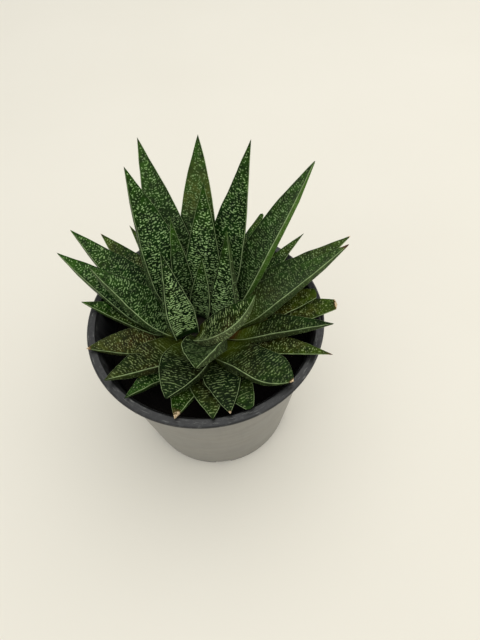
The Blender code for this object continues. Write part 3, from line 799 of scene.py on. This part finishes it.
def leaf_material(number):
    look = look_of(number)
    olive = look["olive"]
    mat = Maker(f"leaf_{number:02d}_look")
    wart, line, along, under, flank = mat.attributes("wart", "line", "along", "under", "flank")

    broad = mat.noise(90, 3, 0.5, seed=number)
    middle = mat.noise(260, 3, 0.6, seed=number + 5)
    fine = mat.noise(900, 4, 0.6, seed=number + 0.5)
    deep = mat.mix(mat.ramp(broad, 0.35, 0.65), srgb(12, 44, 0), srgb(24, 62, 4))
    brown = mat.mix(mat.ramp(broad, 0.4, 0.62), srgb(52, 56, 6), srgb(64, 50, 16))
    patches = mat.noise(60, 2, 0.5, seed=number + 7)
    mat.colour = mat.mix(mat.ramp(patches, 0.62 - 0.55 * olive, 1 - 0.45 * olive), deep, brown)
    mat.paint(mat.ramp(along, 0.5, 0.97, 0, 0.15 + 0.85 * look["fresh"]), 80, 128, 26)
    mat.paint(mat.ramp(middle, 0.35, 0.66, 0, 0.75), 4, 16, 0)
    mat.paint(look["bloom"], 92, 106, 70)
    side_tone = (92, 132, 44) if look["green_flank"] else (122, 136, 90)
    mat.paint(mat.times(flank, look["flank"]), *side_tone)
    # Painted shade over the whole face, on leaves that lie in shade.
    mat.paint(look["shade"], 5, 15, 2)
    # Painted shade darkens the faces towards the heart of the rosette, and the base has tints of its own.
    for key, fades, full, *tone in (
            ("heart", 0.5, 0.12, 8, 18, 5), ("pale_base", 0.16, 0.05, 104, 116, 36),
            ("green_base", 0.42, 0.2, 76, 90, 14), ("red_base", 0.22, 0.14, 84, 42, 22)):
        if look[key]:
            mat.paint(mat.ramp(along, fades, full, 0, look[key]), *tone)
    if look["band"]:
        ends = mat.times(mat.ramp(along, 0.55, 0.68), mat.ramp(along, 0.86, 0.74))
        mat.paint(mat.times(ends, mat.ramp(middle, 0.4, 0.65, 0.1, look["band"])), 96, 108, 44)

    # Warts, uneven in outline and strength, and the margins' line
    pale = mat.mix(mat.noise(300, 2, 0.5, seed=number + 3), srgb(196, 228, 166), srgb(139, 182, 94))
    pale = mat.mix(0.6 * olive, pale, srgb(174, 170, 114))
    strength = mat.times(mat.ramp(middle, 0.3, 0.68, 1, 0.45),
                         mat.ramp(flank, 0, 1, look["warts"], 0.7 * look["warts"]))
    uneven = mat.math("ADD", wart, mat.ramp(fine, 0.25, 0.75, -0.14, 0.14))
    dot = mat.times(mat.ramp(uneven, 0.2, 0.46), strength, mat.ramp(under, 0, 1, 1, 0.85),
                    mat.ramp(along, 0.04, 0.04 + look["bare"]))
    mat.colour = mat.mix(dot, mat.colour, pale)
    clear = mat.times(mat.ramp(line, 0.5, 0.9), mat.ramp(middle, 0.3, 0.62, 1, 0.6), look["edge"])
    mat.paint(clear, 180, 204, 142)

    roughness = mat.ramp(fine, 0.3, 0.7, 0.4, 0.55)
    dry = look["dry"]
    if dry:
        from_tip = mat.times(mat.math("SUBTRACT", 1, along), LEAVES[number - 1]["length"])
        ragged = mat.noise(420, 3, 0.6, seed=number + 11)
        place = mat.math("ADD", from_tip, mat.ramp(ragged, 0.3, 0.7, -0.45 * dry, 0.45 * dry))
        tan = srgb(62, 40, 36) if look["dark_tip"] else srgb(222, 200, 162)
        dried = mat.mix(mat.ramp(fine, 0.4, 0.7), tan, srgb(124, 84, 50))
        mat.paint(mat.ramp(place, 1.9 * dry, 1.1 * dry, 0, 0.6), 92, 64, 34)
        mat.colour = mat.mix(mat.ramp(place, 1.15 * dry, 0.8 * dry), mat.colour, dried)
        roughness = mat.ramp(place, 1.15 * dry, 0.8 * dry, roughness, 0.7)
    skin = mat.bump(mat.noise(2400, 2, 0.5), 0.05 * MM, 0.5)
    return mat.finish(roughness, skin, 0.1)


def pot_material():
    mat = Maker("pot_look")
    outer, inner, rim = mat.attributes("outer", "inner", "rim")
    cloud = mat.noise(38, 4, 0.55)
    streaks = mat.noise(260, 4, 0.6, where=mat.scaled(1, 1, 0.08))
    smear = mat.noise(120, 5, 0.65, where=mat.scaled(0.35, 0.35, 1.6))
    mat.colour = mat.mix(cloud, srgb(18, 19, 20), srgb(29, 29, 29))
    # Dust lies on the outer wall, with streaks, and its grey is also a painted sheen of light reflected off
    # the pale floor. The inner wall and the rim are scuffed.
    dust_and_sheen = mat.math("ADD", mat.ramp(cloud, 0.3, 0.7, 0.52, 0.7), mat.ramp(smear, 0.3, 0.7, 0, 0.14))
    mat.paint(mat.times(outer, dust_and_sheen), 148, 144, 134)
    mat.paint(mat.times(outer, mat.ramp(streaks, 0.45, 0.75, 0, 0.12)), 70, 69, 66)
    mat.paint(mat.times(inner, mat.ramp(streaks, 0.42, 0.7, 0, 0.3)), 92, 92, 92)
    scuffed = mat.ramp(mat.noise(420, 5, 0.7, seed=2), 0.48, 0.72, 0, 0.4)
    mat.paint(mat.times(rim, scuffed), 80, 80, 78)
    # Painted shadow darkens the foot's edge, where it meets the floor, and scratches run round the rim.
    x, y, z = mat.add("ShaderNodeSeparateXYZ", Vector=mat.place()).outputs
    mat.paint(mat.times(outer, mat.ramp(z, 3.2 * MM, 1.6 * MM, 0, 0.85)), 30, 30, 29)
    reach = mat.math("SQRT", mat.math("ADD", mat.times(x, x), mat.times(y, y)))
    bent = mat.add("ShaderNodeCombineXYZ", X=reach, Y=mat.times(x, 0.1), Z=mat.times(y, 0.1))
    scratches = mat.ramp(mat.noise(1300, 4, 0.7, where=bent.outputs[0]), 0.56, 0.7, 0, 0.8)
    mat.paint(mat.times(rim, scratches), 124, 125, 120)
    mat.paint(mat.ramp(mat.noise(900, 3, 0.6), 0.68, 0.8, 0, 0.4), 150, 145, 134)
    skin = mat.bump(mat.noise(1500, 2, 0.5), 0.04 * MM, 0.35)
    return mat.finish(mat.ramp(cloud, 0.3, 0.7, 0.34, 0.46), skin)


def soil_material():
    mat = Maker("soil_look")
    grain = mat.noise(500, 6, 0.7)
    mat.colour = mat.mix(mat.noise(120, 4, 0.6), srgb(10, 8, 7), srgb(24, 19, 15))
    mat.paint(mat.ramp(grain, 0.58, 0.82, 0, 0.5), 52, 42, 32)
    # Pale bits of fibre
    mat.paint(mat.ramp(mat.noise(330, 2, 0.4, seed=4), 0.73, 0.76), 170, 150, 104)
    return mat.finish(0.95, mat.bump(grain, 0.5 * MM, 0.8), 0.2)


def stem_material():
    mat = Maker("stem_look")
    fibre = mat.noise(420, 5, 0.6)
    # The stem's dark brown is darkened further: painted shade where it shows at the heart of the rosette.
    mat.colour = mat.mix(fibre, srgb(34, 30, 16), srgb(22, 18, 11))
    return mat.finish(0.8, mat.bump(fibre, 0.3 * MM, 0.6), 0.3)


# Pot and soil

def wall_radius(height):
    return FOOT_RADIUS + (BODY_TOP_RADIUS - FOOT_RADIUS) * height / POT_HEIGHT


def arc(centre, radius, start, end, steps):
    """Points of an arc in the profile's plane, in degrees from outwards."""
    angles = np.radians(np.linspace(start, end, steps))
    return [(centre[0] + radius * math.cos(a), centre[1] + radius * math.sin(a)) for a in angles]


def spaced(one, two, steps):
    """Points between two profile points, both left out."""
    return [tuple(np.array(one) + (np.array(two) - np.array(one)) * i / steps) for i in range(1, steps)]


def pot_profile():
    """Radius and height round the wall's section, with its share of outer wall, inner wall and rim."""
    under = POT_HEIGHT - RIM_THICKNESS
    inner_low = (wall_radius(FLOOR_THICKNESS) - WALL, FLOOR_THICKNESS)
    inner_high = (wall_radius(under) - WALL, under)
    lip = arc((RIM_INNER_RADIUS + LIP_ROUNDING, POT_HEIGHT - LIP_ROUNDING), LIP_ROUNDING, 180, 90, 4)
    crown = [(RIM_INNER_RADIUS + inwards, POT_HEIGHT - down) for inwards, down in CROWN]
    outside = arc((RIM_RADIUS - RIM_ROUNDING, POT_HEIGHT - RIM_ROUNDING), RIM_ROUNDING, 90, 0, 7)
    outer_high = (wall_radius(under), under - RIM_FILLET)
    outer_low = (wall_radius(4 * FOOT_ROUNDING), 4 * FOOT_ROUNDING)
    points, kinds = [], []

    def put(some, kind):
        points.extend(some)
        kinds.extend([kind] * len(some))

    put([(reach, FLOOR_THICKNESS) for reach in (0, *FLOOR_RINGS)], "inner")
    put([inner_low, *spaced(inner_low, inner_high, INNER_WALL_RINGS), inner_high], "inner")
    put([*lip, *crown, (RIM_RADIUS - RIM_ROUNDING, POT_HEIGHT), *outside[1:]], "rim")
    put([(RIM_RADIUS - inwards, under + up) for inwards, up in RIM_UNDERSIDE], "rim")
    put([(wall_radius(under) + RIM_FILLET, under), outer_high], "outer")
    put([*spaced(outer_high, outer_low, OUTER_WALL_RINGS), outer_low, (FOOT_RADIUS, FOOT_ROUNDING)], "outer")
    put([(FOOT_RADIUS - 0.35 * FOOT_ROUNDING, 0.35 * FOOT_ROUNDING)], "outer")
    put([(reach, 0) for reach in (FOOT_RADIUS - FOOT_ROUNDING, *UNDERSIDE_RINGS, 0)], "outer")
    return points, kinds


def turned(profile, kinds, steps):
    """Points, triangles and kinds of a profile that is turned round the axis, slightly out of round."""
    angles = np.arange(steps) * math.tau / steps
    body = np.array(profile[1:-1])
    rings = len(body)
    points = np.zeros((rings, steps, 3))
    wobble = 1 + OUT_OF_ROUND * np.sin(2 * angles + 0.7) * (body[:, 1] / POT_HEIGHT)[:, None]
    points[..., 0] = body[:, 0][:, None] * np.cos(angles) * wobble
    points[..., 1] = body[:, 0][:, None] * np.sin(angles) * wobble
    points[..., 2] = body[:, 1][:, None]
    everything = np.concatenate([points.reshape(-1, 3), [[0, 0, profile[0][1]], [0, 0, profile[-1][1]]]])
    index = np.arange(rings * steps).reshape(rings, steps)
    near, near_next, far, far_next = ring_corners(index)
    one = triples(near, far, far_next)
    two = triples(near, far_next, near_next)
    ends = [fan(index[0], rings * steps), fan(index[-1], rings * steps + 1, True)]
    triangles = np.concatenate([one, two, *ends])
    values = {}
    for kind in ("outer", "inner", "rim"):
        flags = np.array([float(k == kind) for k in kinds])
        values[kind] = np.concatenate([np.repeat(flags[1:-1], steps), [flags[0], flags[-1]]])
    return everything, triangles, values


def box_cutter(size, reach, angle):
    """A box with its middle on the ground plane, this far out from the pot's axis."""
    bpy.ops.mesh.primitive_cube_add(size=1)
    box = bpy.context.object
    box.scale = size
    box.location = (reach * math.cos(angle), reach * math.sin(angle), 0)
    box.rotation_euler = (0, 0, angle)
    return box


def make_pot():
    pot = solid("pot_moulding", *turned(*pot_profile(), POT_STEPS))
    cutters = []
    for number in range(DRAIN_COUNT):
        angle = FIRST_NOTCH + number * math.tau / DRAIN_COUNT
        bpy.ops.mesh.primitive_cylinder_add(
            vertices=48, radius=DRAIN_RADIUS, depth=6 * FLOOR_THICKNESS,
            location=(DRAIN_CIRCLE * math.cos(angle), DRAIN_CIRCLE * math.sin(angle), 0))
        cutters.append(bpy.context.object)
        notch = (2 * (FOOT_RADIUS - DRAIN_CIRCLE), NOTCH_WIDTH, 2 * NOTCH_HEIGHT)
        cutters.append(box_cutter(notch, FOOT_RADIUS, angle))
        recess = (RECESS_REACH, NOTCH_WIDTH, 2 * RECESS_HEIGHT)
        cutters.append(box_cutter(recess, FOOT_RADIUS - RECESS_DEPTH + RECESS_REACH / 2, angle))
    bpy.context.view_layer.update()
    cut_with(pot, cutters)
    remove_all(cutters)
    pot.data.materials.clear()
    pot.data.materials.append(pot_material())
    pot.data.shade_smooth()
    edges = pot.modifiers.new("keep edges", "EDGE_SPLIT")
    edges.split_angle = SHARP_ANGLE
    pot.data = evaluated_mesh(pot)
    pot.modifiers.clear()
    return pot


def soil_top(x, y):
    """Height of the peat at a point: higher at the wall, with clods and crumbs."""
    level = SOIL_MIDDLE + (SOIL_EDGE - SOIL_MIDDLE) * (np.hypot(x, y) / RIM_INNER_RADIUS) ** 2
    total = np.zeros_like(x)
    for size, height, seed in SOIL_WAVES:
        total += height * MM * smooth_noise(x / (size * MM) + 31, y / (size * MM) + 17, seed)
    clods = smooth_noise(x / CLOD_SIZE + 5, y / CLOD_SIZE + 9, 7)
    return level + total + CLOD_HEIGHT * np.clip(clods - 0.2, 0, 1)


def make_soil():
    # The peat stays clear of the faceted wall of the part's source.
    facet = math.cos(math.pi / CAD_POT_STEPS)
    low_radius = (wall_radius(FLOOR_THICKNESS) - WALL) * facet - 2 * GAP
    top_radius = (wall_radius(SOIL_EDGE) - WALL) * facet - 2 * GAP
    angles = np.arange(SOIL_STEPS) * math.tau / SOIL_STEPS
    rings = [np.stack([low_radius * np.cos(angles), low_radius * np.sin(angles),
                       np.full(SOIL_STEPS, FLOOR_THICKNESS + GAP)], -1)]
    hole = STEM_RADIUS + 1.5 * GAP
    for number in range(SOIL_RINGS + 1):
        share = number / SOIL_RINGS
        x = (1 - share) * top_radius * np.cos(angles) + share * (PLANT_X + hole * np.cos(angles))
        y = (1 - share) * top_radius * np.sin(angles) + share * hole * np.sin(angles)
        rings.append(np.stack([x, y, soil_top(x, y)], -1))
    hole_floor = STEM_FOOT - GAP
    rings.append(np.stack([PLANT_X + hole * np.cos(angles), hole * np.sin(angles),
                           np.full(SOIL_STEPS, hole_floor)], -1))
    count = len(rings)
    middles = [[0, 0, FLOOR_THICKNESS + GAP], [PLANT_X, 0, hole_floor]]
    points = np.concatenate([*rings, middles])
    index = np.arange(count * SOIL_STEPS).reshape(count, SOIL_STEPS)
    near, near_next, far, far_next = ring_corners(index)
    one = triples(near, near_next, far_next)
    two = triples(near, far_next, far)
    bottom = fan(index[0], count * SOIL_STEPS, True)
    hole_bottom = fan(index[-1], count * SOIL_STEPS + 1)
    soil = solid("peat", points, np.concatenate([one, two, bottom, hole_bottom]))
    soil.data.materials.append(soil_material())
    soil.data.shade_smooth()
    return soil


def stem_cutter():
    rise = STEM_TOP - STEM_SHOULDER
    profile = [(0, STEM_TOP + GAP)]
    for step in range(1, STEM_DOME_STEPS + 1):
        angle = step / STEM_DOME_STEPS * math.pi / 2
        profile.append(((STEM_RADIUS + GAP) * math.sin(angle),
                        STEM_SHOULDER + (rise + GAP) * math.cos(angle)))
    profile += [(STEM_RADIUS + GAP, STEM_FOOT - GAP), (0, STEM_FOOT - GAP)]
    cutter = solid("stem_cutter", *turned(profile, ["inner"] * len(profile), STEM_STEPS))
    cutter.data.transform(Matrix.Translation((PLANT_X, 0, 0)))
    return cutter


# Leaves

def make_leaves():
    """Each leaf's name and blade, trimmed to lie just clear of the stem and of the leaves before it."""
    cutters = [stem_cutter()]
    trees = [tree_of(cutters[0].data)]
    made = []
    for number, leaf in enumerate(LEAVES, 1):
        name = f"leaf_{number:02d}"
        thing = solid(f"{name}_blade", *leaf_grid(leaf, number, True))
        cutter = solid(f"{name}_cutter", *leaf_grid(leaf, number, False, GAP))
        tree = tree_of(cutter.data)
        near = [other for other, other_tree in zip(cutters, trees) if tree.overlap(other_tree)]
        cut_with(thing, near)
        largest_body(thing.data)
        thing.data.materials.clear()
        thing.data.materials.append(leaf_material(number))
        thing.data.shade_smooth()
        cutters.append(cutter)
        trees.append(tree)
        made.append((name, thing))
    remove_all(cutters)
    return made


# Stage, light and camera

def make_stage():
    bpy.ops.mesh.primitive_plane_add(size=6)
    floor = bpy.context.object
    floor.name = "floor"
    mat = Maker("floor_look")
    mat.colour = mat.mix(mat.noise(6, 3, 0.5), srgb(235, 230, 216), srgb(240, 235, 222))
    floor.data.materials.append(mat.finish(0.75, None, 0.2))
    floor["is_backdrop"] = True

    world = bpy.data.worlds.new("studio")
    bpy.context.scene.world = world
    world.use_nodes = True
    sky = world.node_tree.nodes["Background"]
    sky.inputs["Color"].default_value = srgb(237, 239, 240)
    sky.inputs["Strength"].default_value = 0.72


def make_lights():
    for name, (place, size, watts, colour) in LIGHTS.items():
        light = bpy.data.lights.new(name, "AREA")
        light.shape = "DISK"
        light.size = size
        light.energy = watts
        light.color = colour
        lamp = new_object(name, light)
        lamp.location = place
        lamp.rotation_euler = (Vector(LIGHT_AIM) - Vector(place)).to_track_quat("-Z", "Y").to_euler()


def make_camera():
    camera = bpy.data.cameras.new("camera")
    camera.lens = CAMERA_LENS
    camera.sensor_width = 36
    camera.clip_start = 0.01
    camera.clip_end = 20
    eye = new_object("camera", camera)
    turn = Matrix((CAMERA_RIGHT, CAMERA_UP, [-value for value in CAMERA_FORWARD])).transposed()
    eye.matrix_world = Matrix.Translation(CAMERA_PLACE) @ turn.to_4x4()
    bpy.context.scene.camera = eye


# The whole scene

pot = make_pot()
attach(pot, "root")
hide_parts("pot")

soil = make_soil()
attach(soil, "root")
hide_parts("soil")

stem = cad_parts["stem"]
stem_look = stem_material()
for material_slot in stem.material_slots:
    material_slot.material = stem_look

for leaf_name, blade in make_leaves():
    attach(blade, "root")
    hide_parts(leaf_name)

make_stage()
make_lights()
make_camera()
bpy.context.scene.view_settings.view_transform = "Standard"

shown = sum(len(thing.data.polygons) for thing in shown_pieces())
print("triangles", shown)
